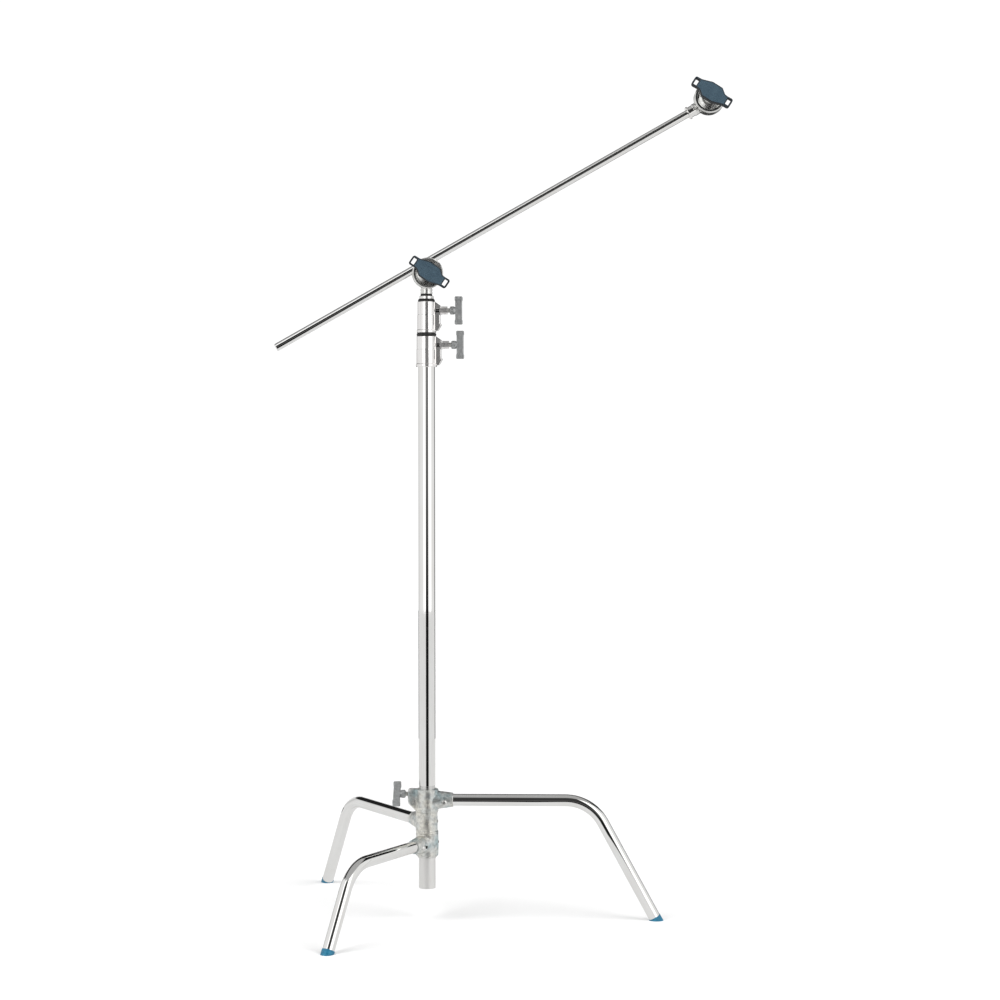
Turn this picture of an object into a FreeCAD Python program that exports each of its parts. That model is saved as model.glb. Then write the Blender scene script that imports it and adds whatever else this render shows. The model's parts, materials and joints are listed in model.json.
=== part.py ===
import FreeCAD, Part
import math
import os
import re
import Sketcher

# A stage lighting stand of the turtle-base kind, with a grip head and a boom arm.  Millimetres.
# Origin: on the floor, under the axis of the column.  +X runs along the high leg, +Z is up.

Vec = FreeCAD.Vector
X, Y, Z = Vec(1, 0, 0), Vec(0, 1, 0), Vec(0, 0, 1)

# Driving dimensions: (alias, value, what it is).  Angles are in degrees.
SIZES = [
    ("gap", 0.1, "clearance between parts that turn or rest on each other"),
    ("press_gap", 0.03, "radial gap of parts fixed inside each other"),
    ("running_gap", 0.06, "radial clearance of a running fit"),
    # base sleeve and the three leg castings stacked on it
    ("sleeve_radius", 17.5, "base sleeve, outer radius"),
    ("sleeve_bore", 14.35, "base sleeve and top casting, bore for the spigot"),
    ("sleeve_bottom", 66.0, "base sleeve, lower end"),
    ("sleeve_top", 245.0, "base sleeve, upper end inside the top casting"),
    ("casting_radius", 23.7, "leg castings, outer radius"),
    ("casting_relief", 21.9, "middle casting, radius of the relieved side"),
    ("relief_start", 130.0, "middle casting, angle from its leg where that side starts"),
    ("relief_turn", 150.0, "middle casting, angle that it runs through"),
    ("relief_lip", 4.0, "middle casting, height of the full band below it"),
    ("low_bottom", 134.8, "bottom casting, underside"),
    ("middle_bottom", 182.0, "middle casting, underside"),
    ("top_bottom", 226.5, "top casting, underside"),
    ("top_top", 274.0, "top casting, upper face"),
    ("ring_height", 4.0, "retaining ring below the castings"),
    ("ring_radius", 20.0, "retaining ring, outer radius"),
    # legs
    ("leg_radius", 12.5, "leg tube, outer radius"),
    ("leg_bore", 11.0, "leg tube, inner radius"),
    ("leg_start", 24.0, "leg tube, distance of its inner end from the column axis"),
    ("run_high", 251.0, "high leg, height of the level run"),
    ("run_middle", 204.0, "middle leg, height of the level run"),
    ("run_low", 160.0, "low leg, height of the level run"),
    ("knee_high", 341.0, "high leg, distance of the knee from the column axis"),
    ("knee_middle", 334.5, "middle leg, distance of the knee from the column axis"),
    ("knee_low", 280.0, "low leg, distance of the knee from the column axis"),
    ("bend_radius", 88.0, "leg bend, centre-line radius"),
    ("leg_turn", 61.4, "angle that a leg turns through at its knee"),
    ("azimuth_middle", 123.5, "middle leg, angle from the high leg"),
    ("azimuth_low", -119.0, "low leg, angle from the high leg"),
    ("foot_height", 7.0, "height of the middle of a leg tube's lower end"),
    ("foot_radius", 13.3, "foot cap, outer radius"),
    ("foot_plug", 12.0, "foot cap, length of the plug inside the tube"),
    ("boss_root", 20.5, "leg socket, outer radius at the casting"),
    ("boss_mouth", 14.6, "leg socket, outer radius at its mouth"),
    ("boss_start", 12.0, "leg socket, where the taper starts"),
    ("boss_end", 54.5, "leg socket, distance of its mouth from the column axis"),
    ("rivet_reach", 36.0, "leg rivet, distance from the column axis"),
    ("rivet_drop", 4.0, "leg rivet, distance below the leg's centre line"),
    ("rivet_radius", 3.5, "leg rivet, shank radius"),
    ("rivet_head", 6.4, "leg rivet, head radius"),
    ("rivet_seat", 15.5, "leg rivet, distance of its seats from the leg's middle"),
    ("screw_radius", 3.0, "casting screw, radius"),
    ("short_screw", 5.3, "casting screw in the relieved side, length"),
    ("middle_screw", 7.1, "casting screw, length"),
    ("long_screw", 7.9, "casting screw beside the leg socket, length"),
    # base lock
    ("base_lock_height", 263.0, "base lock, height of the screw axis"),
    ("base_boss_face", 40.0, "base lock, distance of the boss's face from the axis"),
    ("base_boss_width", 19.0, "base lock, width of the boss"),
    ("base_boss_round", 3.0, "base lock, rounding of the boss"),
    ("pin_reach", 25.7, "cross pin of that boss, distance from the column axis"),
    ("pin_height", 248.6, "cross pin, height"),
    ("pin_radius", 2.5, "cross pin, radius"),
    ("pin_head", 3.8, "cross pin, radius of its head"),
    # column and risers
    ("spigot_radius", 14.29, "column spigot, radius"),
    ("spigot_bottom", 130.0, "column spigot, lower end"),
    ("shoulder_radius", 17.0, "column spigot, shoulder radius"),
    ("column_bottom", 282.0, "column tube, lower end"),
    ("column_top", 1178.0, "column tube, upper end inside the lower collar"),
    ("column_radius", 17.5, "column tube, outer radius"),
    ("column_bore", 16.0, "column tube, inner radius"),
    ("plug_top", 298.0, "column spigot, top of the plug inside the tube"),
    ("riser_one_radius", 15.0, "first riser, outer radius"),
    ("riser_one_bore", 13.7, "first riser, inner radius"),
    ("riser_one_bottom", 312.0, "first riser, lower end of the tube"),
    ("riser_one_top", 1250.6, "first riser, upper end inside the upper collar"),
    ("riser_two_radius", 12.5, "second riser, outer radius"),
    ("riser_two_bore", 11.0, "second riser, inner radius"),
    ("riser_two_bottom", 377.0, "second riser, lower end of the tube"),
    ("riser_two_top", 1292.8, "second riser, upper end"),
    ("bush_flange", 12.0, "guide bush, height of the flange under the tube"),
    ("bush_plug", 18.0, "guide bush, length of the plug inside the tube"),
    ("bush_bore", 8.0, "guide bush, radius of the hole"),
    # collars
    ("lower_collar_bottom", 1152.0, "lower collar, underside"),
    ("lower_collar_top", 1216.0, "lower collar, upper face"),
    ("lower_collar_radius", 21.2, "lower collar, radius of its middle band"),
    ("upper_collar_bottom", 1222.0, "upper collar, underside"),
    ("upper_collar_top", 1287.2, "upper collar, upper face"),
    ("upper_collar_radius", 19.3, "upper collar, radius of its middle band"),
    ("band_step", 0.5, "step in radius from one band of a collar to the next"),
    ("upper_band", 27.0, "collar, depth of the upper band"),
    ("foot_band", 7.0, "collar, height of the lower band"),
    ("lower_lock_height", 1197.6, "lower collar, height of the screw axis"),
    ("upper_lock_height", 1268.5, "upper collar, height of the screw axis"),
    ("collar_boss_radius", 8.2, "collar boss, radius"),
    ("lower_boss_face", 46.5, "lower collar boss, distance of its face from the axis"),
    ("upper_boss_face", 43.5, "upper collar boss, distance of its face from the axis"),
    ("web_width", 14.0, "collar web, width"),
    ("web_round", 2.8, "collar web, rounding of its edges"),
    ("web_depth", 9.6, "collar web, how far it stands out from the middle band"),
    ("web_lip", 12.5, "collar web, how far it stands out at the boss and at its lip"),
    ("lip_drop", 26.0, "collar web, distance of the lip below the screw axis"),
    ("lip_rise", 4.0, "collar web, slope of the lip's upper side"),
    ("web_foot", 6.0, "collar web, how far it stands out at its lower end"),
    ("web_drop", 42.0, "collar web, distance of its lower end below the screw axis"),
    ("lower_bumper_radius", 19.9, "rubber ring on the lower collar, radius"),
    ("upper_bumper_radius", 17.4, "rubber ring on the upper collar, radius"),
    # stud on top of the second riser
    ("stud_radius", 7.94, "stud, radius: five eighths of an inch across"),
    ("stud_flange", 14.8, "stud, flange radius"),
    ("stud_flange_top", 1298.4, "stud, top of the flange"),
    ("stud_top", 1337.0, "stud, top"),
    ("stud_plug_bottom", 1263.0, "stud, lower end of the plug in the riser"),
    ("stud_ring_radius", 12.0, "plastic ring on the stud, radius"),
    ("stud_ring_top", 1302.8, "plastic ring on the stud, top"),
    # lock screws and T-handles
    ("lock_radius", 4.97, "lock screw and pad, radius"),
    ("lock_hole", 5.05, "lock screw hole, radius"),
    ("pad_length", 3.0, "pressure pad, length"),
    ("hub_start", 5.0, "T-handle, gap from the boss to the hub"),
    ("hub_radius", 8.5, "T-handle, hub radius"),
    ("bar_start", 15.0, "T-handle, distance of the bar from the boss"),
    ("bar_thickness", 16.2, "T-handle, thickness of the bar along the screw"),
    ("bar_width", 14.0, "T-handle, width of the bar"),
    ("bar_step", 1.0, "T-handle, step between the grip ends and the middle"),
    ("bar_end", 8.0, "T-handle, length of a grip end"),
    ("bar_round", 2.3, "T-handle, rounding of the grip ends"),
    ("bar_chamfer", 1.4, "T-handle, bevel of its long edges"),
    ("bar_half", 29.0, "T-handle, half length of the bar"),
    ("small_bar_half", 24.0, "T-handle of the grip head, half length of the bar"),
    ("screw_in_handle", 9.0, "T-handle, depth to which the screw is held"),
    ("base_handle_turn", 48.0, "base T-handle, angle at rest about its screw"),
    # grip heads: distances are along the head's axis from the receiver's front face
    ("head_height", 1344.0, "grip head, height of its axis"),
    ("head_turn", 7.5, "grip head, angle at rest about the column"),
    ("disc_radius", 31.75, "jaw plates, radius"),
    ("receiver_disc", 30.5, "receiver plate, radius"),
    ("stand_face", 18.0, "front face of the stand head's receiver, from the column axis"),
    ("arm_face", 14.0, "front face of the arm head's receiver, from the rod axis"),
    ("plate_thickness", 5.0, "receiver plate, thickness"),
    ("washer_thickness", 1.5, "friction washer, thickness"),
    ("washer_radius", 28.0, "friction washer, radius"),
    ("inner_back", 1.55, "inner jaw, rear face"),
    ("inner_front", 11.3, "inner jaw, front face"),
    ("groove_axis", 13.0, "axis of the clamped rod"),
    ("outer_back", 14.7, "outer jaw, rear face"),
    ("outer_rim", 21.5, "outer jaw, end of the rim"),
    ("outer_front", 24.5, "outer jaw, front face"),
    ("outer_hub", 33.8, "outer jaw, top of the hub"),
    ("thrust_top", 36.8, "thrust washer, outer face"),
    ("thrust_radius", 12.5, "thrust washer, radius"),
    ("bolt_radius", 5.0, "centre bolt, radius"),
    ("bolt_tip", 55.0, "centre bolt, tip"),
    ("pocket_radius", 8.0, "spring pocket, radius"),
    ("pocket_depth", 5.0, "spring pocket, depth"),
    ("spring_radius", 6.6, "spring, radius of its centre line"),
    ("spring_wire", 0.7, "spring, radius of the wire"),
    ("rod_radius", 7.94, "arm rod, radius: five eighths of an inch across"),
    ("groove_radius", 8.0, "large jaw groove, radius"),
    ("groove_offset", 20.5, "large jaw groove, distance from the head's axis"),
    ("small_groove_radius", 4.8, "small jaw groove, radius"),
    ("small_groove_offset", 16.0, "small jaw groove, distance from the head's axis"),
    ("receiver_radius", 11.4, "stand head's socket, outer radius"),
    ("receiver_flange", 12.4, "stand head's socket, radius of the two bands at its lower end"),
    ("band_height", 3.7, "stand head's socket, height of each band"),
    ("band_space", 2.0, "stand head's socket, space between the bands"),
    ("receiver_bore", 8.0, "receiver socket, bore"),
    ("receiver_drop", 41.0, "receiver socket, how far it reaches below the head's axis"),
    ("receiver_rise", 6.0, "receiver socket, how far it reaches above the head's axis"),
    ("socket_depth", 34.6, "receiver socket, depth of the bore"),
    ("receiver_boss", 17.0, "boss behind the receiver plate, radius"),
    ("stand_boss_back", 0.0, "stand head, rear end of that boss from the column axis"),
    ("arm_boss_back", -10.0, "arm head, rear end of that boss from the rod axis"),
    ("head_lock_drop", 18.0, "head lock, distance of the screw below the head's axis"),
    ("head_boss_face", 24.0, "head lock, distance of the boss's face from the axis"),
    ("head_boss_radius", 9.0, "head lock, boss radius"),
    # knobs
    ("knob_back", 36.9, "knob, rear of the hub"),
    ("knob_hub", 12.0, "knob, hub radius"),
    ("wing_back", 56.0, "knob, rear face of the wings"),
    ("wing_thickness", 12.5, "knob, thickness of the wings"),
    ("wing_half", 45.3, "knob, half length"),
    ("wing_end", 10.5, "knob, half width at its ends"),
    ("wing_neck", 8.8, "knob, half width at the hollow side's neck"),
    ("wing_body", 18.8, "knob, half width at its middle"),
    ("wing_round", 4.5, "knob, rounding of the outline"),
    ("loop_centre", 38.2, "knob, distance of a finger loop from the middle"),
    ("loop_length", 7.4, "knob, opening of a finger loop along the knob"),
    ("loop_width", 13.4, "knob, opening of a finger loop across the knob"),
    ("nut_radius", 8.0, "knob nut, radius"),
    ("nut_length", 14.0, "knob nut, length"),
    ("knob_depth", 58.0, "knob, end of the hole for the bolt"),
    ("stand_knob_turn", -34.6, "stand knob, angle at rest"),
    ("arm_knob_turn", -63.0, "arm knob, angle at rest"),
    # arm
    ("arm_tilt", 29.7, "arm, angle above the level at rest"),
    ("arm_length", 1016.0, "arm rod, length: forty inches"),
    ("arm_reach", 682.0, "arm head, distance from the stand head along the rod"),
    ("arm_tail", 343.0, "arm rod, distance of its free end from the stand head"),
    ("arm_roll", -9.3, "arm head, angle at rest about the rod"),
    ("neck_start", 49.0, "arm neck nut, distance of its end from the arm head"),
    ("neck_end", 33.0, "arm neck nut, distance of its other end"),
    ("neck_radius", 12.5, "arm head's neck, outer radius"),
    ("neck_flange", 13.5, "arm neck nut, flange radius"),
    ("neck_nut", 11.4, "arm neck nut, radius behind the flange"),
    ("neck_screw_reach", 25.0, "grub screw of the arm neck, distance from the head's axis"),
    ("tip_length", 3.0, "arm tip cap, length outside the rod"),
]

doc = FreeCAD.newDocument("lighting_stand")
sheet = doc.addObject("Spreadsheet::Sheet", "Sizes")
for row, (alias, value, meaning) in enumerate(SIZES, start=1):
    sheet.set(f"A{row}", meaning)
    sheet.set(f"B{row}", str(value))
    sheet.setAlias(f"B{row}", alias)
doc.recompute()
size = {alias: value for alias, value, meaning in SIZES}

NODES = []


# ---- helpers ---------------------------------------------------------------------------------


def sized(expression):
    """An expression with each alias looked up in the size sheet: 'a - b' reads Sizes.a - Sizes.b."""
    return re.sub(
        "[a-z_]+", lambda word: f"Sizes.{word[0]}" if word[0] in size else word[0], expression
    )


def bind(thing, **sizes):
    for prop, expression in sizes.items():
        thing.setExpression(prop, sized(expression))
    return thing


def move(x=0.0, y=0.0, z=0.0):
    return FreeCAD.Placement(Vec(x, y, z), FreeCAD.Rotation())


def turn(axis, degrees):
    return FreeCAD.Placement(Vec(), FreeCAD.Rotation(axis, degrees))


def toward(direction):
    """The placement that turns local +Z to a direction."""
    return FreeCAD.Placement(Vec(), FreeCAD.Rotation(Z, direction))


def node(thing, label, place=None):
    """Name a finished sub-part and put it in its place."""
    thing.Label = label
    if place is not None:
        thing.Placement = place
    NODES.append(thing)
    return thing


def new_body(label):
    return doc.addObject("PartDesign::Body", label + "_body")


def plane_of(body, role):
    return next(f for f in body.Origin.OriginFeatures if f.Role == role)


def blank_sketch(body, role, lift=0.0):
    sketch = body.newObject("Sketcher::SketchObject", "outline")
    sketch.AttachmentSupport = (plane_of(body, role), [""])
    sketch.MapMode = "FlatFace"
    sketch.AttachmentOffset = move(z=lift)
    return sketch


def outline(body, role, corners, lift=0.0):
    """A closed outline of straight sides.  Each corner is a pair of expressions."""
    sketch = blank_sketch(body, role, lift)
    count = len(corners)
    rough = [
        Vec(math.cos(2 * math.pi * i / count), math.sin(2 * math.pi * i / count), 0)
        for i in range(count)
    ]
    sketch.addGeometry([Part.LineSegment(rough[i], rough[(i + 1) % count]) for i in range(count)])
    sketch.addConstraint(
        [Sketcher.Constraint("Coincident", i, 2, (i + 1) % count, 1) for i in range(count)]
    )
    for i, corner in enumerate(corners):
        for kind, start, expression in zip(("DistanceX", "DistanceY"), rough[i][:2], corner):
            index = sketch.addConstraint(Sketcher.Constraint(kind, -1, 1, i, 1, start))
            sketch.setExpression(f"Constraints[{index}]", sized(expression))
    return sketch


def circles(body, role, radii, lift=0.0):
    """Concentric circles about the plane's origin."""
    sketch = blank_sketch(body, role, lift)
    for i, radius in enumerate(radii):
        sketch.addGeometry(Part.Circle(Vec(), Z, i + 1))
        sketch.addConstraint(Sketcher.Constraint("Coincident", i, 3, -1, 1))
        index = sketch.addConstraint(Sketcher.Constraint("Radius", i, i + 1))
        sketch.setExpression(f"Constraints[{index}]", sized(radius))
    return sketch


def revolve(body, corners, axis="V_Axis"):
    sketch = outline(body, "XZ_Plane", corners)
    feature = body.newObject("PartDesign::Revolution", "turned")
    feature.Profile = sketch
    feature.ReferenceAxis = (sketch, [axis])
    feature.Angle = 360
    return feature


def pad(body, sketch, length, midplane=False):
    feature = body.newObject("PartDesign::Pad", "pad")
    feature.Profile = sketch
    feature.setExpression("Length", sized(length))
    feature.Midplane = midplane
    return feature


def turned(label, corners, place=None):
    """A part turned about its own Z axis.  The corners are (radius, height)."""
    body = new_body(label)
    revolve(body, corners)
    return node(body, label, place)


def rounded(body, base, radius, kind, test):
    """Fillet or chamfer those edges of a feature that pass a test."""
    doc.recompute()
    edges = [f"Edge{i}" for i, edge in enumerate(base.Shape.Edges, start=1) if test(edge)]
    feature = body.newObject("PartDesign::" + kind, kind.lower())
    feature.Base = (base, edges)
    if kind == "Fillet":
        bind(feature, Radius=radius)
    else:
        bind(feature, Size=radius)
    return feature


def cylinder(name, radius, height, place=None):
    """A plain cylinder from the placement's origin along its Z."""
    thing = bind(doc.addObject("Part::Cylinder", name), Radius=radius, Height=height)
    if place is not None:
        thing.Placement = place
    return thing


def cone(name, radius, end_radius, height, place):
    thing = doc.addObject("Part::Cone", name)
    bind(thing, Radius1=radius, Radius2=end_radius, Height=height)
    thing.Placement = place
    return thing


def fuse(name, parts):
    thing = doc.addObject("Part::MultiFuse", name)
    thing.Shapes = parts
    thing.Refine = True
    return thing


def cut(name, base, tools):
    thing = doc.addObject("Part::Cut", name)
    thing.Base = base
    thing.Tool = tools[0] if len(tools) == 1 else fuse(name + "_tools", tools)
    return thing


# ---- frames of the parts that stand at an angle ----------------------------------------------

# A head's own frame has +Z out along its axis, +X along the rod it clamps and +Y above the rod.
HEAD_POST = move(z=size["head_height"]) * turn(Z, size["head_turn"])
STAND_HEAD = HEAD_POST * turn(X, 90)
STAND_FACE = STAND_HEAD * move(z=size["stand_face"])
STAND_JAWS = STAND_FACE * turn(Z, size["arm_tilt"])
STAND_KNOB = STAND_FACE * turn(Z, size["stand_knob_turn"])
ROD = STAND_JAWS * move(y=size["groove_offset"], z=size["groove_axis"])
ARM_HEAD = ROD * move(x=size["arm_reach"]) * turn(X, size["arm_roll"])
ARM_FACE = ARM_HEAD * move(z=size["arm_face"])
ARM_KNOB = ARM_FACE * turn(Z, size["arm_knob_turn"])


# ---- base: sleeve, castings, legs ------------------------------------------------------------


def make_sleeve():
    turned("base_sleeve", [
        ("sleeve_bore", "sleeve_bottom + 1"),
        ("sleeve_bore + 1", "sleeve_bottom"),
        ("sleeve_radius - 0.8", "sleeve_bottom"),
        ("sleeve_radius", "sleeve_bottom + 0.8"),
        ("sleeve_radius", "sleeve_top"),
        ("sleeve_bore", "sleeve_top"),
    ])
    turned("retaining_ring", [
        ("sleeve_radius + press_gap", "low_bottom - gap - ring_height"),
        ("ring_radius - 0.6", "low_bottom - gap - ring_height"),
        ("ring_radius", "low_bottom - gap - ring_height + 0.6"),
        ("ring_radius", "low_bottom - gap"),
        ("sleeve_radius + press_gap", "low_bottom - gap"),
    ])


def leg_socket(label, run):
    """The tapered boss that holds a leg tube, and the holes for the tube and its rivet."""
    out = move(z=size[run]) * toward(X)
    boss = cone(
        label + "_boss", "boss_root", "boss_mouth", "boss_end - boss_start",
        out * move(z=size["boss_start"]),
    )
    tube_hole = cylinder(
        label + "_tube_hole", "leg_radius + press_gap", "boss_end", out * move(z=size["leg_start"])
    )
    rivet = move(size["rivet_reach"], 0, size[run] - size["rivet_drop"])
    rivet_hole = cylinder(
        label + "_rivet_hole", "rivet_radius + press_gap", "4 * leg_radius",
        rivet * move(y=2 * size["leg_radius"]) * toward(-Y),
    )
    spot_faces = [
        cylinder(
            f"{label}_spot_face{i}", "rivet_head + press_gap", "leg_radius",
            rivet * move(y=side * size["rivet_seat"]) * toward(Y * side),
        )
        for i, side in enumerate((1, -1))
    ]
    return boss, [tube_hole, rivet_hole] + spot_faces


def screw_hole(label, height, azimuth):
    return cylinder(
        label, "screw_radius + press_gap", "casting_radius + leg_radius",
        turn(Z, azimuth) * move(z=height) * toward(X),
    )


# Each casting screw: angle from its own leg, height above the casting's underside, length.
SCREWS = {
    "middle": [(146.5, 22.3, "short_screw"), (236.5, 24.0, "short_screw")],
    "low": [(29.0, 22.5, "long_screw"), (119.0, 28.0, "middle_screw")],
}


def make_casting(name, low, high, bore, run, azimuth):
    """A leg casting: a ring on the sleeve, a socket for the leg and a relieved side."""
    height = f"{high} - {low} - gap" if name != "top" else f"{high} - {low}"
    label = name + "_casting"
    ring = cylinder(label + "_ring", "casting_radius", height, move(z=size[low]))
    boss, holes = leg_socket(label, run)
    solids = [ring, boss]
    if name == "top":
        solids.append(base_lock_boss())
        holes.append(cylinder(
            label + "_lock_hole", "lock_hole", "base_boss_face",
            move(z=size["base_lock_height"]) * toward(-X) * move(z=size["sleeve_bore"] - 2),
        ))
        holes.append(cylinder(
            label + "_pin_hole", "pin_radius + press_gap", "2 * base_boss_width",
            move(-size["pin_reach"], size["base_boss_width"], size["pin_height"]) * toward(-Y),
        ))
        holes.append(cylinder(
            label + "_spigot_hole", "sleeve_bore", "top_top", move(z=size["sleeve_top"])
        ))
        holes.append(cylinder(
            label + "_bore", bore, "sleeve_top - top_bottom", move(z=size[low])
        ))
    else:
        holes.append(cylinder(label + "_bore", bore, height, move(z=size[low])))
        for number, (angle, rise, _) in enumerate(SCREWS[name]):
            holes.append(screw_hole(f"{label}_screw_hole{number}", size[low] + rise, angle))
    whole = fuse(label + "_whole", solids)
    if name == "middle":
        whole = cut(label + "_relieved", whole, [relief(label, low, high)])
    node(cut(label, whole, holes), label, turn(Z, azimuth))


def relief(label, low, high):
    """A shallow step that runs round the side away from the leg."""
    outer = bind(
        doc.addObject("Part::Cylinder", label + "_relief_outer"),
        Radius="2 * casting_radius", Height=f"{high} - {low}", Angle="relief_turn",
    )
    inner = cylinder(label + "_relief_inner", "casting_relief", f"{high} - {low}")
    step = cut(label + "_relief", outer, [inner])
    step.Placement = move(z=size[low] + size["relief_lip"]) * turn(Z, size["relief_start"])
    return step


def base_lock_boss():
    """The block on the far side of the top casting that takes the base's lock screw."""
    body = new_body("base_lock_boss")
    sketch = outline(body, "XZ_Plane", [
        ("0 - sleeve_radius + 1", "top_bottom + 2.5"),
        ("0 - casting_radius", "top_bottom + 2.5"),
        ("0 - base_boss_face + 2", "base_lock_height - 20"),
        ("0 - base_boss_face", "base_lock_height - 13"),
        ("0 - base_boss_face", "top_top - 3.5"),
        ("0 - base_boss_face + 3", "top_top"),
        ("0 - sleeve_radius + 1", "top_top"),
    ])
    block = pad(body, sketch, "base_boss_width", midplane=True)
    rounded(
        body, block, "base_boss_round", "Fillet",
        lambda edge: max(v.X for v in edge.Vertexes) < -size["casting_radius"]
        and abs(edge.Vertexes[0].Y - edge.Vertexes[-1].Y) < 1,
    )
    return body


def leg_path(body, run, knee):
    """The leg's centre line from its inner end: a level run, a bend and a straight slope."""
    radius, bend = size["bend_radius"], math.radians(size["leg_turn"])
    level = size[knee] - size["leg_start"] - radius * math.tan(bend / 2)
    drop = size[run] - size["foot_height"]
    bend_end = Vec(level + radius * math.sin(bend), -radius * (1 - math.cos(bend)), 0)
    slope = (drop + bend_end.y) / math.sin(bend)
    foot = bend_end + Vec(math.cos(bend), -math.sin(bend), 0) * slope

    sketch = blank_sketch(body, "XZ_Plane")
    centre = Vec(level, -radius, 0)
    sketch.addGeometry([
        Part.LineSegment(Vec(), Vec(level, 0, 0)),
        Part.ArcOfCircle(Part.Circle(centre, Z, radius), math.pi / 2 - bend, math.pi / 2),
        Part.LineSegment(bend_end, foot),
    ])
    sketch.addConstraint([
        Sketcher.Constraint("Coincident", 0, 1, -1, 1),
        Sketcher.Constraint("Horizontal", 0),
        Sketcher.Constraint("Tangent", 0, 2, 1, 2),
        Sketcher.Constraint("Tangent", 1, 1, 2, 1),
    ])
    bends = {
        ("Radius", 1): (radius, "bend_radius"),
        ("DistanceX", 0, 1, 0, 2): (
            level, f"{knee} - leg_start - bend_radius * tan( leg_turn / 2 * 1 deg )"
        ),
        ("DistanceY", 2, 2, 2, 1): (
            bend_end.y - foot.y, f"{run} - foot_height - bend_radius * ( 1 - cos( leg_turn * 1 deg ) )"
        ),
    }
    for where, (start, expression) in bends.items():
        index = sketch.addConstraint(Sketcher.Constraint(*where, start))
        sketch.setExpression(f"Constraints[{index}]", sized(expression))
    index = sketch.addConstraint(Sketcher.Constraint("Angle", 0, 2, 2, 1, math.pi - bend))
    sketch.setExpression(f"Constraints[{index}]", sized("( 180 - leg_turn ) * 1 deg"))
    return sketch


def make_leg(name, run, knee, azimuth):
    """A bent leg tube, its foot cap and its rivet, in the frame of the leg's own casting."""
    label = f"{name}_leg_tube"
    start = turn(Z, azimuth) * move(size["leg_start"], 0, size[run])
    body = new_body(label)
    path = leg_path(body, run, knee)
    ring = circles(body, "YZ_Plane", ["leg_radius", "leg_bore"])
    pipe = body.newObject("PartDesign::AdditivePipe", "pipe")
    pipe.Profile = ring
    pipe.Spine = path
    hole = blank_sketch(body, "XZ_Plane")
    hole.addGeometry(Part.Circle(Vec(10, -5, 0), Z, 3))
    for kind, value, expression in (
        ("DistanceX", 10, "rivet_reach - leg_start"),
        ("DistanceY", -5, "0 - rivet_drop"),
    ):
        index = hole.addConstraint(Sketcher.Constraint(kind, -1, 1, 0, 3, value))
        hole.setExpression(f"Constraints[{index}]", sized(expression))
    index = hole.addConstraint(Sketcher.Constraint("Radius", 0, 3))
    hole.setExpression(f"Constraints[{index}]", sized("rivet_radius + press_gap"))
    pocket = body.newObject("PartDesign::Pocket", "rivet_hole")
    pocket.Profile = hole
    bind(pocket, Length="4 * leg_radius")
    pocket.Midplane = True
    node(body, label, start)

    slope = math.radians(90 - size["leg_turn"])
    end = move(
        size[knee] + (size[run] - size["foot_height"]) * math.tan(slope), 0, size["foot_height"]
    )
    down = end * toward(Vec(math.sin(slope), 0, -math.cos(slope)))
    plug = cylinder(
        name + "_foot_plug", "leg_bore - press_gap", "foot_plug + press_gap",
        down * move(z=-size["foot_plug"]),
    )
    cap = cylinder(
        name + "_foot_skirt", "foot_radius", "4 * foot_radius", down * move(z=size["press_gap"])
    )
    floor = bind(
        doc.addObject("Part::Box", name + "_foot_floor"),
        Length="8 * foot_radius", Width="8 * foot_radius", Height="8 * foot_radius",
    )
    below = 8 * size["foot_radius"]
    floor.Placement = end * move(-below / 2, -below / 2, -below - size["foot_height"])
    foot = cut(name + "_foot_whole", fuse(name + "_foot_blank", [plug, cap]), [floor])
    node(foot, f"{name}_foot", turn(Z, azimuth))

    fasteners = leg_rivet(name, run)
    if name == "top":
        fasteners.append(boss_pin())
    for number, (angle, rise, length) in enumerate(SCREWS.get(name, [])):
        height = size[f"{name}_bottom"] + rise
        fasteners.append(cylinder(
            f"{name}_screw{number}", "screw_radius", length,
            turn(Z, angle) * move(size["sleeve_radius"] + 3 * size["gap"], 0, height) * toward(X),
        ))
    group = doc.addObject("Part::Compound", name + "_fastener_group")
    group.Links = fasteners
    node(group, f"{name}_leg_fasteners", turn(Z, azimuth))


def leg_rivet(name, run):
    """A rivet through the socket and the tube, with a domed head on each side."""
    reach, height = size["rivet_reach"], size[run] - size["rivet_drop"]
    half = size["rivet_seat"] + size["press_gap"]
    shank = cylinder(
        name + "_rivet_shank", "rivet_radius", "2 * ( rivet_seat + press_gap )",
        move(reach, half, height) * toward(-Y),
    )
    heads = [
        cone(f"{name}_rivet_head{i}", "rivet_head", "rivet_head / 2", "rivet_head / 3",
             move(reach, -side * half, height) * toward(-Y * side))
        for i, side in enumerate((1, -1))
    ]
    return [fuse(name + "_rivet", [shank] + heads)]


def boss_pin():
    """The cross pin of the base lock's boss, with a head on the outside."""
    side = size["base_boss_width"] / 2
    at = move(-size["pin_reach"], side, size["pin_height"])
    shank = cylinder("boss_pin_shank", "pin_radius", "base_boss_width", at * toward(-Y))
    head = cone(
        "boss_pin_head", "pin_head", "pin_radius", "pin_radius",
        at * move(y=-2 * side) * toward(-Y),
    )
    return fuse("boss_pin", [shank, head])


# ---- column, risers and collars --------------------------------------------------------------


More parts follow.
